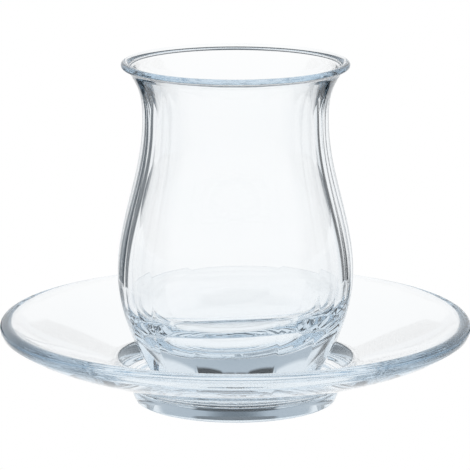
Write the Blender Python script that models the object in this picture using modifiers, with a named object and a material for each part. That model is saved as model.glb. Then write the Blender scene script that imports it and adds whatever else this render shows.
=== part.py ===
"""An empty waisted tea glass with sixteen flutes, standing in the well of its glass saucer.

Metres, +Z up. The origin is the middle of the saucer's foot, on the table.
"""
import math

import bpy

MM = 0.001
GAP = 0.3 * MM  # air left between the glass and the saucer

# The saucer
SAUCER_RADIUS = 65 * MM
SAUCER_HEIGHT = 22.8 * MM
LIP_RADIUS = 1.8 * MM  # rounding of the saucer's edge
LIP_START = math.radians(116)  # where the rounding leaves the upper face
LIP_END = math.radians(-34)
PLATE_THICKNESS = 4.3 * MM
PLATE_SLOPE = 0.34
EDGE_CURL = 2.25 * MM  # how far the underside turns up at the edge
CURL_POWER = 8
FOOT_RADIUS = 29.4 * MM
FOOT_HEIGHT = 5.4 * MM  # where the foot meets the underside
FOOT_STRAIGHT = 4.15 * MM  # the foot's wall is upright above this height
FOOT_BOTTOM_RADIUS = 27.7 * MM
FOOT_RING_WIDTH = 4.8 * MM
FOOT_BEVEL = 0.3 * MM
RECESS_DEPTH = 0.7 * MM
WELL_RADIUS = 25.2 * MM
WELL_FLOOR = 6.15 * MM
WELL_BLEND = 9.5 * MM  # width of the curve from the well up to the slope
UPPER_SLOPE_FROM = 41 * MM
UPPER_SLOPE_TO = 61.2 * MM
SAUCER_STEPS = 72

# The glass, with heights above its own base
GLASS_BASE = WELL_FLOOR + GAP
GLASS_HEIGHT = 88.15 * MM
BASE_RADIUS = 23.1 * MM
HEEL_RADIUS = 1.2 * MM
BELLY_RADIUS = 32.5 * MM
BELLY_HEIGHT = 29.2 * MM
BELLY_POWER = 1.87
WAIST_RADIUS = 25.5 * MM
WAIST_HEIGHT = 72.2 * MM
FLARE_HEIGHT = 86.7 * MM
FLARE = 4.53 * MM
FLARE_POWER = 2.54
RIM_RADIUS = 31.3 * MM
BEAD_RADIUS = 1.14 * MM
BEAD_HALF_HEIGHT = 0.93 * MM
BEAD_START = math.radians(180)  # where the rim's rounding leaves the inner wall
BEAD_END = math.radians(-75)
WALL = 3.4 * MM
WALL_AT_RIM = 2.3 * MM
FLOOR_HEIGHT = 11.0 * MM  # thickness of the glass under the drink
FLOOR_TILT = 0.05  # the rounded bottom inside leans a little, as pressed glass has it
BOWL_HEIGHT = 13.5 * MM  # height of the rounded bottom inside
BOWL_POWER = 2.5
GLASS_STEPS = 96

# The flutes on the outside of the glass
FLUTES = 16
FLUTE_DEPTH = 0.2 * MM
FLUTE_LOW_DEPTH = 0.3 * MM  # how much deeper the flutes are at the base
FLUTE_LOW_TO = 26.0 * MM
FLUTE_FULL_FROM = 2.5 * MM
FLUTE_FULL_TO = 76.0 * MM
FLUTE_TOP = 85.0 * MM

GLASS_COLOUR = (0.90, 0.95, 0.97, 1.0)
GLASS_ROUGHNESS = 0.02
GLASS_IOR = 1.52


def ease(t):
    """0 to 1 with level ends, as t goes from 0 to 1."""
    t = min(max(t, 0.0), 1.0)
    return t * t * (3 - 2 * t)


def spread(start, end, count):
    """count + 1 evenly spaced values from start to end."""
    return [start + (end - start) * i / count for i in range(count + 1)]


def arc(centre_x, centre_z, radius_x, radius_z, start, end, count):
    """Points on an ellipse, from the angle start to the angle end."""
    return [
        (centre_x + radius_x * math.cos(angle), centre_z + radius_z * math.sin(angle))
        for angle in spread(start, end, count)
    ]


def underside(radius):
    """Height of the saucer's underside outside its foot."""
    out = radius - FOOT_RADIUS
    curl = EDGE_CURL * (out / (SAUCER_RADIUS - FOOT_RADIUS)) ** CURL_POWER
    return FOOT_HEIGHT + PLATE_SLOPE * out + curl


def upper_side(radius):
    """Height of the saucer's upper face: the flat well, a hollow curve, then the slope."""
    slope = underside(max(radius, FOOT_RADIUS)) + PLATE_THICKNESS * math.hypot(1, PLATE_SLOPE)
    rise = ease((radius - WELL_RADIUS) / WELL_BLEND)
    return WELL_FLOOR + (slope - WELL_FLOOR) * rise


def saucer_profile():
    """From the middle of the well out over the edge, and back under to the middle."""
    lip_x = SAUCER_RADIUS - LIP_RADIUS
    lip_z = SAUCER_HEIGHT - LIP_RADIUS
    foot_inner = FOOT_BOTTOM_RADIUS - FOOT_RING_WIDTH
    points = [(0.0, WELL_FLOOR)]
    points += [(r, upper_side(r)) for r in spread(WELL_RADIUS, WELL_RADIUS + WELL_BLEND, 5)]
    points += [(r, upper_side(r)) for r in spread(UPPER_SLOPE_FROM, UPPER_SLOPE_TO, 3)]
    points += arc(lip_x, lip_z, LIP_RADIUS, LIP_RADIUS, LIP_START, LIP_END, 5)
    points += [(r, underside(r)) for r in spread(lip_x, FOOT_RADIUS, 6)]
    points += [
        (FOOT_RADIUS, FOOT_STRAIGHT),
        (FOOT_BOTTOM_RADIUS + FOOT_BEVEL, 2 * FOOT_BEVEL),
        (FOOT_BOTTOM_RADIUS - FOOT_BEVEL, 0.0),
        (foot_inner + FOOT_BEVEL, 0.0),
        (foot_inner - FOOT_BEVEL, RECESS_DEPTH / 2),
        (foot_inner - 3 * FOOT_BEVEL, RECESS_DEPTH),
        (0.0, RECESS_DEPTH),
    ]
    return points


def outer_radius(height):
    """Radius over the flutes' ridges at a height above the glass's base."""
    if height < BELLY_HEIGHT:
        below = (BELLY_HEIGHT - height) / BELLY_HEIGHT
        return BELLY_RADIUS - (BELLY_RADIUS - BASE_RADIUS) * below ** BELLY_POWER
    if height < WAIST_HEIGHT:
        up = (height - BELLY_HEIGHT) / (WAIST_HEIGHT - BELLY_HEIGHT)
        return BELLY_RADIUS - (BELLY_RADIUS - WAIST_RADIUS) * (1 - math.cos(math.pi * up)) / 2
    up = (height - WAIST_HEIGHT) / (FLARE_HEIGHT - WAIST_HEIGHT)
    return WAIST_RADIUS + FLARE * up ** FLARE_POWER


def inner_radius(height):
    """Radius of the plain inner wall."""
    thinning = ease((height - WAIST_HEIGHT) / (GLASS_HEIGHT - WAIST_HEIGHT))
    return outer_radius(height) - WALL - (WALL_AT_RIM - WALL) * thinning


def bowl_point(angle):
    """A point of the rounded bottom inside: angle 90 degrees is its middle and 0 its top."""
    height = FLOOR_HEIGHT + BOWL_HEIGHT * (1 - math.sin(angle) ** (2 / BOWL_POWER))
    return inner_radius(height) * math.cos(angle) ** (2 / BOWL_POWER), height


def glass_profile():
    """From the middle of the inside up over the rim, and down to the middle of the base."""
    bowl_top = FLOOR_HEIGHT + BOWL_HEIGHT
    bead_x = RIM_RADIUS - BEAD_RADIUS
    bead_z = GLASS_HEIGHT - BEAD_HALF_HEIGHT
    inner_end = bead_z - 0.6 * BEAD_HALF_HEIGHT
    points = [(0.0, FLOOR_HEIGHT)]
    points += [bowl_point(angle) for angle in spread(math.radians(75), 0, 5)]
    points += [(inner_radius(h), h) for h in spread(bowl_top, WAIST_HEIGHT, 5)[1:]]
    points += [(inner_radius(h), h) for h in spread(WAIST_HEIGHT, inner_end, 5)[1:]]
    points += arc(bead_x, bead_z, BEAD_RADIUS, BEAD_HALF_HEIGHT, BEAD_START, BEAD_END, 7)
    points += [(outer_radius(h), h) for h in spread(FLUTE_TOP, WAIST_HEIGHT, 4)]
    points += [(outer_radius(h), h) for h in spread(WAIST_HEIGHT, HEEL_RADIUS, 10)[1:]]
    points += [(BASE_RADIUS - HEEL_RADIUS / 2, 0.0), (0.0, 0.0)]
    return [(x, GLASS_BASE + z) for x, z in points]


def flute_cut(angle, height):
    """Depth of the flutes below the ridges, at an angle round the glass and a height above its base."""
    panel = 2 * math.pi / FLUTES
    across = (angle / panel) % 1.0 * 2 - 1
    fade = ease(height / FLUTE_FULL_FROM)
    fade *= 1 - ease((height - FLUTE_FULL_TO) / (FLUTE_TOP - FLUTE_FULL_TO))
    depth = FLUTE_DEPTH + FLUTE_LOW_DEPTH * (1 - ease(height / FLUTE_LOW_TO))
    return depth * (1 - across * across) * fade


def is_outer_wall(radius, height):
    return 0 < height <= FLUTE_TOP and radius > (inner_radius(height) + outer_radius(height)) / 2


def clear_glass(name):
    """Clear pressed glass with a faint cool tint."""
    material = bpy.data.materials.new(name)
    material.use_nodes = True
    shader = material.node_tree.nodes["Principled BSDF"]
    shader.inputs["Base Color"].default_value = GLASS_COLOUR
    shader.inputs["Roughness"].default_value = GLASS_ROUGHNESS
    shader.inputs["Metallic"].default_value = 0.0
    shader.inputs["IOR"].default_value = GLASS_IOR
    shader.inputs["Transmission Weight"].default_value = 1.0
    material.diffuse_color = GLASS_COLOUR
    return material


def turned(name, profile, steps, material, collection):
    """A solid of revolution: the profile, turned about Z with a Screw modifier."""
    mesh = bpy.data.meshes.new(name)
    edges = [(i, i + 1) for i in range(len(profile) - 1)]
    mesh.from_pydata([(x, 0.0, z) for x, z in profile], edges, [])
    turned_object = bpy.data.objects.new(name, mesh)
    collection.objects.link(turned_object)
    screw = turned_object.modifiers.new("turn", "SCREW")
    screw.axis = "Z"
    screw.angle = 2 * math.pi
    screw.steps = steps
    screw.render_steps = steps
    screw.use_merge_vertices = True
    screw.merge_threshold = 0.00001
    screw.use_smooth_shade = True
    mesh.materials.append(material)
    return turned_object


def applied(turned_object):
    """Replaces an object's mesh by its evaluated mesh, so that its points can be moved."""
    bpy.context.view_layer.update()
    evaluated = turned_object.evaluated_get(bpy.context.evaluated_depsgraph_get())
    mesh = bpy.data.meshes.new_from_object(evaluated)
    turned_object.modifiers.clear()
    turned_object.data = mesh
    mesh.name = turned_object.name
    return mesh


def shape_glass(mesh):
    """Cuts the flutes into the outer wall, and tilts the rounded bottom inside."""
    for vertex in mesh.vertices:
        radius = math.hypot(vertex.co.x, vertex.co.y)
        height = vertex.co.z - GLASS_BASE
        if is_outer_wall(radius, height):
            angle = math.atan2(vertex.co.y, vertex.co.x)
            scale = 1 - flute_cut(angle, height) / radius
            vertex.co.x *= scale
            vertex.co.y *= scale
        elif height > FLOOR_HEIGHT - GAP:
            low = 1 - ease((height - FLOOR_HEIGHT) / (2 * BOWL_HEIGHT))
            vertex.co.z += FLOOR_TILT * vertex.co.x * low


def make_saucer(collection):
    material = clear_glass("saucer_glass")
    return turned("saucer", saucer_profile(), SAUCER_STEPS, material, collection)


def make_glass(collection):
    material = clear_glass("cup_glass")
    glass = turned("glass", glass_profile(), GLASS_STEPS, material, collection)
    shape_glass(applied(glass))
    return glass


def main():
    for old in list(bpy.data.objects):
        bpy.data.objects.remove(old, do_unlink=True)
    collection = bpy.data.collections.new("turkish_tea_glass")
    bpy.context.scene.collection.children.link(collection)
    make_saucer(collection)
    make_glass(collection)


main()
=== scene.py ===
"""Looks for an empty fluted tea glass on its glass saucer, on a plain white table."""
import math

import bpy
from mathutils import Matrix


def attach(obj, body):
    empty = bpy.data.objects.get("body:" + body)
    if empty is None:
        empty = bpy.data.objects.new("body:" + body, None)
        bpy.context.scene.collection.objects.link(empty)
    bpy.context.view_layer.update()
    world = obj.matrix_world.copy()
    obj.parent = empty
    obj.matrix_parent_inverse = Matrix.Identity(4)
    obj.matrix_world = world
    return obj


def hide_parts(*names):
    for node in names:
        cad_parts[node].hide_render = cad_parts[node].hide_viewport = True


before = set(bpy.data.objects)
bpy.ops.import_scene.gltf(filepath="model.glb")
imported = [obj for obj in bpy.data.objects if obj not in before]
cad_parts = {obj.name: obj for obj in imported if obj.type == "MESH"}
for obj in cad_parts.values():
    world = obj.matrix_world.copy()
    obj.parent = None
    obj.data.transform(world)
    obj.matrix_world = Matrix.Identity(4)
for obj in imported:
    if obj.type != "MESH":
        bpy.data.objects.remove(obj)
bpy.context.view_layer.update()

MM = 0.001
IMAGE_SIZE = 470  # pixels, both ways
HOLD = 0.06 * MM  # how far beside a rounding the profile has one more point, so that flats shade flat
ROUNDING_POINTS = 8
MERGE_WITHIN = 0.01 * MM  # points nearer than this become one where a turn closes
WHITE = (1.0, 1.0, 1.0, 1)

# The saucer
SAUCER_RADIUS = 65 * MM
SAUCER_HEIGHT = 22.8 * MM
LIP_RADIUS = 1.8 * MM
LIP_START = 116  # degrees at which the rounding leaves the upper face
LIP_END = -34
LIP_POINTS = 20
PLATE_THICKNESS = 4.3 * MM
PLATE_SLOPE = 0.34
EDGE_CURL = 2.25 * MM  # how far the underside turns up at the edge
CURL_POWER = 8
UNDERSIDE_FROM = 1.2 * MM  # how far outside the lip's centre the underside begins
UNDERSIDE_POINTS = 24
FOOT_RADIUS = 29.4 * MM
FOOT_HEIGHT = 5.4 * MM  # where the foot meets the underside
FOOT_STRAIGHT = 4.15 * MM  # the foot's wall is upright above this height
FOOT_BOTTOM_RADIUS = 27.7 * MM
FOOT_RING_WIDTH = 4.8 * MM
FOOT_SIDE = 2 * MM  # the underside ends this far outside the foot's wall
FOOT_ROUNDING = 0.7 * MM
RING_ROUNDING = 0.5 * MM
RECESS_DEPTH = 0.7 * MM
RECESS_SLANT = 0.8 * MM  # width of the slant up into the recess, and its rounding
WELL_RADIUS = 25.2 * MM
WELL_FLOOR = 6.15 * MM
WELL_BLEND = 9.5 * MM  # width of the curve from the well up to the slope
WELL_HOLD = 1 * MM  # the flat well has one more point this far inside its edge
WELL_BLEND_POINTS = 24
UPPER_SLOPE_TO = 61.2 * MM
UPPER_SLOPE_POINTS = 18
SAUCER_STEPS = 288

# The glass, with heights above its own base
GAP = 0.3 * MM  # air left between the glass and the saucer
GLASS_BASE = WELL_FLOOR + GAP
GLASS_HEIGHT = 88.15 * MM
BASE_RADIUS = 23.1 * MM
HEEL_RADIUS = 1.2 * MM
HEEL_INSET = 0.3 * MM  # how far the heel's corner stands in from the base's radius
HEEL_RUN = 1 * MM  # the wall ends this far above the heel
BELLY_RADIUS = 32.5 * MM
BELLY_HEIGHT = 29.2 * MM
BELLY_POWER = 1.87
WAIST_RADIUS = 25.5 * MM
WAIST_HEIGHT = 72.2 * MM
FLARE_HEIGHT = 86.7 * MM
FLARE = 4.53 * MM
FLARE_POWER = 2.54
RIM_RADIUS = 31.3 * MM
BEAD_RADIUS = 1.14 * MM
BEAD_HALF_HEIGHT = 0.93 * MM
BEAD_START = 180  # degrees at which the rim's rounding leaves the inner wall
BEAD_END = -75
BEAD_POINTS = 24
INNER_WALL_SHORT = 0.6  # the inner wall ends this share of the bead's half height under its centre
WALL = 3.4 * MM
WALL_AT_RIM = 2.3 * MM
WALL_POINTS_INSIDE = 40
WALL_POINTS_OUTSIDE = 64
FLOOR_HEIGHT = 11.0 * MM  # thickness of the glass under the drink
FLOOR_TILT = 0.05  # the rounded bottom inside leans a little
BOWL_HEIGHT = 13.5 * MM  # height of the rounded bottom inside
BOWL_POWER = 2.5
BOWL_START = 88  # degrees: the curve leaves the flat middle here, and 0 is its top
BOWL_POINTS = 40
FLUTES = 16
FLUTE_DEPTH = 0.2 * MM
FLUTE_LOW_DEPTH = 0.3 * MM  # how much deeper the flutes are at the base
FLUTE_LOW_TO = 26.0 * MM
FLUTE_FULL_FROM = 2.5 * MM
FLUTE_FULL_TO = 76.0 * MM
FLUTE_TOP = 85.0 * MM
GLASS_STEPS = FLUTES * 26

# The clear glass
REFRACTION = 1.5
ABSORPTION = (4.0, 2.5, 1.4)  # red, green and blue taken away, by the metre
FAINT_TINT = (0.985, 0.993, 0.997, 1)
WAVE_DETAIL = 1.0
SAUCER_WAVES = (22 * MM, 0.004 * MM)  # length and depth of the faint waves in the surface
CUP_WAVES = (14 * MM, 0.006 * MM)

# The camera
CAMERA_DISTANCE = 1.0  # metres
CAMERA_ELEVATION = math.radians(12.18)
AIM_X = -0.14 * MM
AIM_HEIGHT = 46.1 * MM
FOCAL_PIXELS = 3632.6
SENSOR_WIDTH = 36.0  # millimetres
CLIP_START = 0.01  # metres

# The studio. Bearings are degrees from straight behind the object, to its right. It is tuned for
# the look of the glass and isn't a real one: straight, reflected and passing light see other levels.
TABLE_SIZE = 3.0  # half of its width in metres
BOUNCES = 24  # picked: light trapped in the edges of the glass goes dark at this many
ROOM = 0.92  # brightness in front of the object, and all round to light that met no glass
LESS_RED = 0.22  # how much less red and more blue a middle grey of the studio has
MORE_BLUE = 0.2
TABLE_BEARINGS = [  # the table's brightness in reflected light at each bearing
    (-180, 0.9), (-110, 0.9), (-100, 0.6), (-70, 0.6), (-60, 0.95),
    (-46, 0.95), (-43, 0.08), (-27, 0.12), (-24, 0.95), (36, 0.95), (39, 0.03), (46, 0.03), (49, 0.8),
    (60, 0.95), (72, 0.6), (100, 0.6), (110, 0.9), (180, 0.9),
]
# Behind the object, and only to light that went through glass: the sine of the angle above the
# horizon, and the brightness there.
OPEN_LEVELS = [
    (0.0, 0.12), (0.11, 0.12), (0.13, 0.4), (0.16, 0.4), (0.18, 0.52), (0.28, 0.52),
    (0.31, 0.88), (0.66, 0.88), (0.9, 0.93), (0.92, 0.28), (0.96, 0.28), (0.98, 0.95),
]
CARD_LEVELS = [  # the same where a dark card stands
    (0.0, 0.12), (0.16, 0.1), (0.172, 0.2), (0.185, 0.5), (0.25, 0.52), (0.265, 0.03), (0.42, 0.03),
    (0.44, 0.88), (0.66, 0.88), (0.9, 0.93), (0.92, 0.28), (0.96, 0.28), (0.98, 0.95),
]
CARD_BEARINGS = [  # the share of the card at each bearing
    (-180, 0.0), (-84, 0.0), (-80, 1.0), (-52, 1.0), (-48, 0.0), (-18, 0.0), (-16, 1.0),
    (16, 1.0), (18, 0.0), (48, 0.0), (52, 1.0), (80, 1.0), (84, 0.0), (180, 0.0),
]
BEHIND = [  # the share of those levels at each bearing
    (-180, 0.0), (-110, 0.0), (-95, 1.0), (95, 1.0), (110, 0.0), (180, 0.0),
]
TABLE_NEAR = 1.0  # the table's brightness in reflected light near the middle, at every bearing
NEAR_TO = 0.07  # metres from the middle: the table's bearings begin to show here
FAR_FROM = 0.11  # and show fully from here
TABLE_UNDER = [  # metres from the middle, and the brightness for light that comes straight through the glass
    (0.0, 1.0), (0.56, 1.0), (0.66, 0.1), (1.0, 0.1),
]


def ease(t):
    """0 to 1 with level ends, as t goes from 0 to 1."""
    t = min(max(t, 0.0), 1.0)
    return t * t * (3 - 2 * t)


def spread(start, end, count):
    """count + 1 evenly spaced values from start to end."""
    return [start + (end - start) * i / count for i in range(count + 1)]


def arc(centre_x, centre_z, radius_x, radius_z, start, end, count):
    """Points on an ellipse, from the angle start to the angle end."""
    return [
        (centre_x + radius_x * math.cos(angle), centre_z + radius_z * math.sin(angle))
        for angle in spread(math.radians(start), math.radians(end), count)
    ]


def toward(start, end, distance):
    """The point at a distance from start on the way to end."""
    share = distance / math.dist(start, end)
    return tuple(a + (b - a) * share for a, b in zip(start, end))


def rounded(corners):
    """The inner corners (x, z, reach) of a line, each rounded over its reach on both sides."""
    points = []
    for before, corner, after in zip(corners, corners[1:], corners[2:]):
        reach = corner[2]
        before, corner, after = before[:2], corner[:2], after[:2]
        start = toward(corner, before, reach)
        end = toward(corner, after, reach)
        points.append(toward(corner, before, reach + HOLD))
        for t in spread(0.0, 1.0, ROUNDING_POINTS):
            weights = ((1 - t) ** 2, 2 * t * (1 - t), t * t)
            weighted = list(zip(weights, (start, corner, end)))
            points.append(tuple(sum(w * p[i] for w, p in weighted) for i in (0, 1)))
        points.append(toward(corner, after, reach + HOLD))
    return points


def underside(radius):
    """Height of the saucer's underside outside its foot."""
    out = radius - FOOT_RADIUS
    curl = EDGE_CURL * (out / (SAUCER_RADIUS - FOOT_RADIUS)) ** CURL_POWER
    return FOOT_HEIGHT + PLATE_SLOPE * out + curl


def upper_side(radius):
    """Height of the saucer's upper face: the flat well, a hollow curve, then the slope."""
    slope = underside(max(radius, FOOT_RADIUS)) + PLATE_THICKNESS * math.hypot(1, PLATE_SLOPE)
    rise = ease((radius - WELL_RADIUS) / WELL_BLEND)
    return WELL_FLOOR + (slope - WELL_FLOOR) * rise


def saucer_profile():
    """From the middle of the well out over the edge, and back under to the middle."""
    lip_x = SAUCER_RADIUS - LIP_RADIUS
    lip_z = SAUCER_HEIGHT - LIP_RADIUS
    foot_inner = FOOT_BOTTOM_RADIUS - FOOT_RING_WIDTH
    foot_side = FOOT_RADIUS + FOOT_SIDE
    blend_to = WELL_RADIUS + WELL_BLEND
    points = [(0.0, WELL_FLOOR), (WELL_RADIUS - WELL_HOLD, WELL_FLOOR)]
    points += [(r, upper_side(r)) for r in spread(WELL_RADIUS, blend_to, WELL_BLEND_POINTS)]
    points += [(r, upper_side(r)) for r in spread(blend_to, UPPER_SLOPE_TO, UPPER_SLOPE_POINTS)[1:]]
    points += arc(lip_x, lip_z, LIP_RADIUS, LIP_RADIUS, LIP_START, LIP_END, LIP_POINTS)
    points += [(r, underside(r)) for r in spread(lip_x + UNDERSIDE_FROM, foot_side, UNDERSIDE_POINTS)]
    points += rounded([
        (foot_side, underside(foot_side), 0),
        (FOOT_RADIUS, FOOT_HEIGHT, FOOT_ROUNDING),
        (FOOT_RADIUS, FOOT_STRAIGHT, FOOT_ROUNDING),
        (FOOT_BOTTOM_RADIUS, 0.0, RING_ROUNDING),
        (foot_inner, 0.0, RING_ROUNDING),
        (foot_inner - RECESS_SLANT, RECESS_DEPTH, RECESS_SLANT),
        (0.0, RECESS_DEPTH, 0),
    ])
    points.append((0.0, RECESS_DEPTH))
    return points


def outer_radius(height):
    """Radius over the flutes' ridges at a height above the glass's base."""
    if height < BELLY_HEIGHT:
        below = (BELLY_HEIGHT - height) / BELLY_HEIGHT
        return BELLY_RADIUS - (BELLY_RADIUS - BASE_RADIUS) * below ** BELLY_POWER
    if height < WAIST_HEIGHT:
        up = (height - BELLY_HEIGHT) / (WAIST_HEIGHT - BELLY_HEIGHT)
        return BELLY_RADIUS - (BELLY_RADIUS - WAIST_RADIUS) * (1 - math.cos(math.pi * up)) / 2
    up = (height - WAIST_HEIGHT) / (FLARE_HEIGHT - WAIST_HEIGHT)
    return WAIST_RADIUS + FLARE * up ** FLARE_POWER


def inner_radius(height):
    """Radius of the plain inner wall."""
    thinning = ease((height - WAIST_HEIGHT) / (GLASS_HEIGHT - WAIST_HEIGHT))
    return outer_radius(height) - WALL - (WALL_AT_RIM - WALL) * thinning


def bowl_point(angle):
    """A point of the rounded bottom inside: angle 90 degrees is its middle and 0 its top."""
    height = FLOOR_HEIGHT + BOWL_HEIGHT * (1 - math.sin(angle) ** (2 / BOWL_POWER))
    return inner_radius(height) * math.cos(angle) ** (2 / BOWL_POWER), height


def glass_profile():
    """From the middle of the inside up over the rim, and down to the middle of the base."""
    bowl_top = FLOOR_HEIGHT + BOWL_HEIGHT
    bead_x = RIM_RADIUS - BEAD_RADIUS
    bead_z = GLASS_HEIGHT - BEAD_HALF_HEIGHT
    inner_end = bead_z - INNER_WALL_SHORT * BEAD_HALF_HEIGHT
    foot = HEEL_RADIUS + HEEL_RUN
    points = [(0.0, FLOOR_HEIGHT)]
    points += [bowl_point(angle) for angle in spread(math.radians(BOWL_START), 0, BOWL_POINTS)]
    points += [(inner_radius(h), h) for h in spread(bowl_top, inner_end, WALL_POINTS_INSIDE)[1:]]
    points += arc(bead_x, bead_z, BEAD_RADIUS, BEAD_HALF_HEIGHT, BEAD_START, BEAD_END, BEAD_POINTS)
    points += [(outer_radius(h), h) for h in spread(bead_z - BEAD_HALF_HEIGHT, foot, WALL_POINTS_OUTSIDE)]
    points += rounded([
        (outer_radius(foot), foot, 0),
        (BASE_RADIUS - HEEL_INSET, 0.0, HEEL_RADIUS),
        (0.0, 0.0, 0),
    ])
    points.append((0.0, 0.0))
    return [(x, GLASS_BASE + z) for x, z in points]


def flute_cut(angle, height):
    """Depth of the flutes below the ridges, at an angle round the glass and a height above its base."""
    panel = 2 * math.pi / FLUTES
    across = (angle / panel) % 1.0 * 2 - 1
    fade = ease(height / FLUTE_FULL_FROM)
    fade *= 1 - ease((height - FLUTE_FULL_TO) / (FLUTE_TOP - FLUTE_FULL_TO))
    depth = FLUTE_DEPTH + FLUTE_LOW_DEPTH * (1 - ease(height / FLUTE_LOW_TO))
    return depth * (1 - across * across) * fade


def is_outer_wall(radius, height):
    return 0 < height <= FLUTE_TOP and radius > (inner_radius(height) + outer_radius(height)) / 2


def shape_glass(mesh):
    """Cuts the flutes, and tilts the rounded bottom inside."""
    for vertex in mesh.vertices:
        radius = math.hypot(vertex.co.x, vertex.co.y)
        height = vertex.co.z - GLASS_BASE
        if is_outer_wall(radius, height):
            angle = math.atan2(vertex.co.y, vertex.co.x)
            scale = 1 - flute_cut(angle, height) / radius
            vertex.co.x *= scale
            vertex.co.y *= scale
        elif FLOOR_HEIGHT - MM < height:
            low = 1 - ease((height - FLOOR_HEIGHT) / (2 * BOWL_HEIGHT))
            vertex.co.z += FLOOR_TILT * vertex.co.x * low


def turned(name, profile, steps):
    """A solid of revolution with its Screw modifier applied."""
    mesh = bpy.data.meshes.new(name)
    edges = [(i, i + 1) for i in range(len(profile) - 1)]
    mesh.from_pydata([(x, 0.0, z) for x, z in profile], edges, [])
    piece = bpy.data.objects.new(name, mesh)
    bpy.context.scene.collection.objects.link(piece)
    screw = piece.modifiers.new("turn", "SCREW")
    screw.axis = "Z"
    screw.angle = 2 * math.pi
    screw.steps = steps
    screw.render_steps = steps
    screw.use_merge_vertices = True
    screw.merge_threshold = MERGE_WITHIN
    screw.use_smooth_shade = True
    bpy.context.view_layer.update()
    evaluated = piece.evaluated_get(bpy.context.evaluated_depsgraph_get())
    fine = bpy.data.meshes.new_from_object(evaluated)
    piece.modifiers.clear()
    piece.data = fine
    return piece


def glass_material(name, wave_size, wave_depth):
    """Clear pressed glass: faintly wavy, slightly uneven in tint, and taking a little of each colour."""
    material = bpy.data.materials.new(name)
    material.use_nodes = True
    nodes = material.node_tree.nodes
    links = material.node_tree.links
    shader = nodes["Principled BSDF"]
    shader.inputs["Transmission Weight"].default_value = 1.0
    shader.inputs["IOR"].default_value = REFRACTION
    shader.inputs["Roughness"].default_value = 0.0
    coordinates = nodes.new("ShaderNodeTexCoord")
    waves = nodes.new("ShaderNodeTexNoise")
    waves.inputs["Scale"].default_value = 1 / wave_size
    waves.inputs["Detail"].default_value = WAVE_DETAIL
    links.new(coordinates.outputs["Object"], waves.inputs["Vector"])
    bump = nodes.new("ShaderNodeBump")
    bump.inputs["Strength"].default_value = 1.0
    bump.inputs["Distance"].default_value = wave_depth
    links.new(waves.outputs["Fac"], bump.inputs["Height"])
    links.new(bump.outputs["Normal"], shader.inputs["Normal"])
    tint = nodes.new("ShaderNodeValToRGB")
    tint.color_ramp.elements[0].color = FAINT_TINT
    tint.color_ramp.elements[1].color = WHITE
    links.new(waves.outputs["Fac"], tint.inputs["Fac"])
    links.new(tint.outputs["Color"], shader.inputs["Base Color"])
    volume = nodes.new("ShaderNodeVolumeAbsorption")
    most = max(ABSORPTION)
    volume.inputs["Color"].default_value = (*[1 - a / most for a in ABSORPTION], 1)
    volume.inputs["Density"].default_value = most
    links.new(volume.outputs["Volume"], nodes["Material Output"].inputs["Volume"])
    return material


def make_pieces():
    """The two pieces, each in the place of its plain solid."""
    saucer = turned("saucer_clear", saucer_profile(), SAUCER_STEPS)
    glass = turned("glass_clear", glass_profile(), GLASS_STEPS)
    shape_glass(glass.data)
    saucer.data.materials.append(glass_material("pressed_saucer_glass", *SAUCER_WAVES))
    glass.data.materials.append(glass_material("pressed_cup_glass", *CUP_WAVES))
    for piece, node, slot in ((saucer, "saucer", "saucer_glass"), (glass, "glass", "cup_glass")):
        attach(piece, "root")
        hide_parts(node)


def tinted(grey):
    """A cool grey: white and black stay as they are."""
    middle = grey * (1 - grey)
    return (grey - LESS_RED * middle, grey, grey + MORE_BLUE * middle, 1)


def ramp(tree, value, stops):
    """Cool greys along a value from 0 to 1: stops are pairs of place and brightness."""
    node = tree.nodes.new("ShaderNodeValToRGB")
    elements = node.color_ramp.elements
    while len(elements) > 1:
        elements.remove(elements[-1])
    for i, (place, grey) in enumerate(stops):
        element = elements[0] if i == 0 else elements.new(place)
        element.position = place
        element.color = tinted(grey)
    tree.links.new(value, node.inputs["Fac"])
    return node.outputs["Color"]


def math_node(tree, operation, *inputs):
    """One sum on sockets or plain numbers."""
    node = tree.nodes.new("ShaderNodeMath")
    node.operation = operation
    for socket, value in zip(node.inputs, inputs):
        if isinstance(value, (int, float)):
            socket.default_value = value
        else:
            tree.links.new(value, socket)
    return node.outputs[0]


def mixed(tree, factor, first, second):
    """The first colour where the factor is 0, and the second where it is 1."""
    mix = tree.nodes.new("ShaderNodeMix")
    mix.data_type = "RGBA"
    for name, value in (("Factor", factor), ("A", first), ("B", second)):
        named = [i for i in mix.inputs if i.name == name]
        socket = [i for i in named if name == "Factor" or i.type == "RGBA"][0]
        if isinstance(value, tuple):
            socket.default_value = value
        else:
            tree.links.new(value, socket)
    return [o for o in mix.outputs if o.type == "RGBA"][0]


def split_vector(tree, vector):
    split = tree.nodes.new("ShaderNodeSeparateXYZ")
    tree.links.new(vector, split.inputs[0])
    return split.outputs


def bearing_ramp(tree, x, y, stops):
    """Cool greys round the horizon."""
    turn = math_node(tree, "MULTIPLY_ADD", math_node(tree, "ARCTAN2", x, y), 1 / (2 * math.pi), 0.5)
    return ramp(tree, turn, [((bearing + 180) / 360, grey) for bearing, grey in stops])


def share_ramp(tree, value, stops):
    """The share at a value from 0 to 1, straight from stop to stop."""
    node = tree.nodes.new("ShaderNodeFloatCurve")
    curve = node.mapping.curves[0]
    stops = [(0.0, stops[0][1])] + stops + [(1.0, stops[-1][1])]
    for point, (place, share) in zip(curve.points, (stops[0], stops[-1])):
        point.location = (place, share)
    for place, share in stops[1:-1]:
        curve.points.new(place, share)
    for point in curve.points:
        point.handle_type = "VECTOR"
    node.mapping.update()
    tree.links.new(value, node.inputs["Value"])
    return node.outputs[0]


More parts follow.
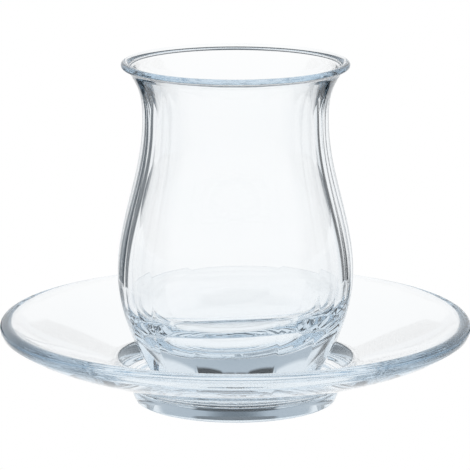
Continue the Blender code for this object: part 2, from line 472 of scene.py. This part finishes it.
def make_world():
    """White for the camera, a pale room, and lights and dark gaps that show only through glass."""
    world = bpy.data.worlds.new("studio")
    bpy.context.scene.world = world
    world.use_nodes = True
    tree = world.node_tree
    coordinates = tree.nodes.new("ShaderNodeTexCoord")
    x, y, z = split_vector(tree, coordinates.outputs["Generated"])
    above = math_node(tree, "MAXIMUM", z, 0.0)
    card = bearing_ramp(tree, x, y, CARD_BEARINGS)
    levels = mixed(tree, card, ramp(tree, above, OPEN_LEVELS), ramp(tree, above, CARD_LEVELS))
    behind = bearing_ramp(tree, x, y, BEHIND)
    path = tree.nodes.new("ShaderNodeLightPath")
    through = math_node(tree, "GREATER_THAN", path.outputs["Transmission Depth"], 0.5)
    behind = math_node(tree, "MULTIPLY", behind, through)
    colour = mixed(tree, behind, tinted(ROOM), levels)
    colour = mixed(tree, path.outputs["Is Camera Ray"], colour, WHITE)
    tree.links.new(colour, tree.nodes["Background"].inputs["Color"])


def table_material():
    """A table that shines white, with darker stretches in reflected light and far off."""
    material = bpy.data.materials.new("table_white")
    material.use_nodes = True
    tree = material.node_tree
    tree.nodes.remove(tree.nodes["Principled BSDF"])
    coordinates = tree.nodes.new("ShaderNodeTexCoord")
    x, y = split_vector(tree, coordinates.outputs["Object"])[:2]
    x_squared = math_node(tree, "MULTIPLY", x, x)
    y_squared = math_node(tree, "MULTIPLY", y, y)
    distance = math_node(tree, "SQRT", math_node(tree, "ADD", x_squared, y_squared))
    straight = ramp(tree, distance, TABLE_UNDER)
    far = bearing_ramp(tree, x, y, TABLE_BEARINGS)
    far_share = share_ramp(tree, distance, [(NEAR_TO, 0.0), (FAR_FROM, 1.0)])
    reflected = mixed(tree, far_share, tinted(TABLE_NEAR), far)
    path = tree.nodes.new("ShaderNodeLightPath")
    is_reflected = math_node(tree, "GREATER_THAN", path.outputs["Glossy Depth"], 0.5)
    colour = mixed(tree, is_reflected, straight, reflected)
    colour = mixed(tree, path.outputs["Is Camera Ray"], colour, WHITE)
    emission = tree.nodes.new("ShaderNodeEmission")
    tree.links.new(colour, emission.inputs["Color"])
    tree.links.new(emission.outputs[0], tree.nodes["Material Output"].inputs["Surface"])
    return material


def make_table():
    mesh = bpy.data.meshes.new("table")
    signs = ((-1, -1), (1, -1), (1, 1), (-1, 1))
    corners = [(x * TABLE_SIZE, y * TABLE_SIZE, 0) for x, y in signs]
    mesh.from_pydata(corners, [], [(0, 1, 2, 3)])
    mesh.materials.append(table_material())
    table = bpy.data.objects.new("table", mesh)
    bpy.context.scene.collection.objects.link(table)


def make_camera():
    data = bpy.data.cameras.new("camera")
    camera = bpy.data.objects.new("camera", data)
    bpy.context.scene.collection.objects.link(camera)
    data.sensor_width = SENSOR_WIDTH
    data.lens = FOCAL_PIXELS / IMAGE_SIZE * data.sensor_width
    data.clip_start = CLIP_START
    back = CAMERA_DISTANCE * math.cos(CAMERA_ELEVATION)
    up = CAMERA_DISTANCE * math.sin(CAMERA_ELEVATION)
    camera.location = (AIM_X, -back, AIM_HEIGHT + up)
    camera.rotation_euler = (math.pi / 2 - CAMERA_ELEVATION, 0, 0)
    bpy.context.scene.camera = camera


def main():
    make_camera()
    make_pieces()
    make_world()
    make_table()
    scene = bpy.context.scene
    scene.view_settings.view_transform = "Standard"
    scene.cycles.max_bounces = BOUNCES
    scene.cycles.transmission_bounces = BOUNCES
    scene.cycles.glossy_bounces = BOUNCES


main()
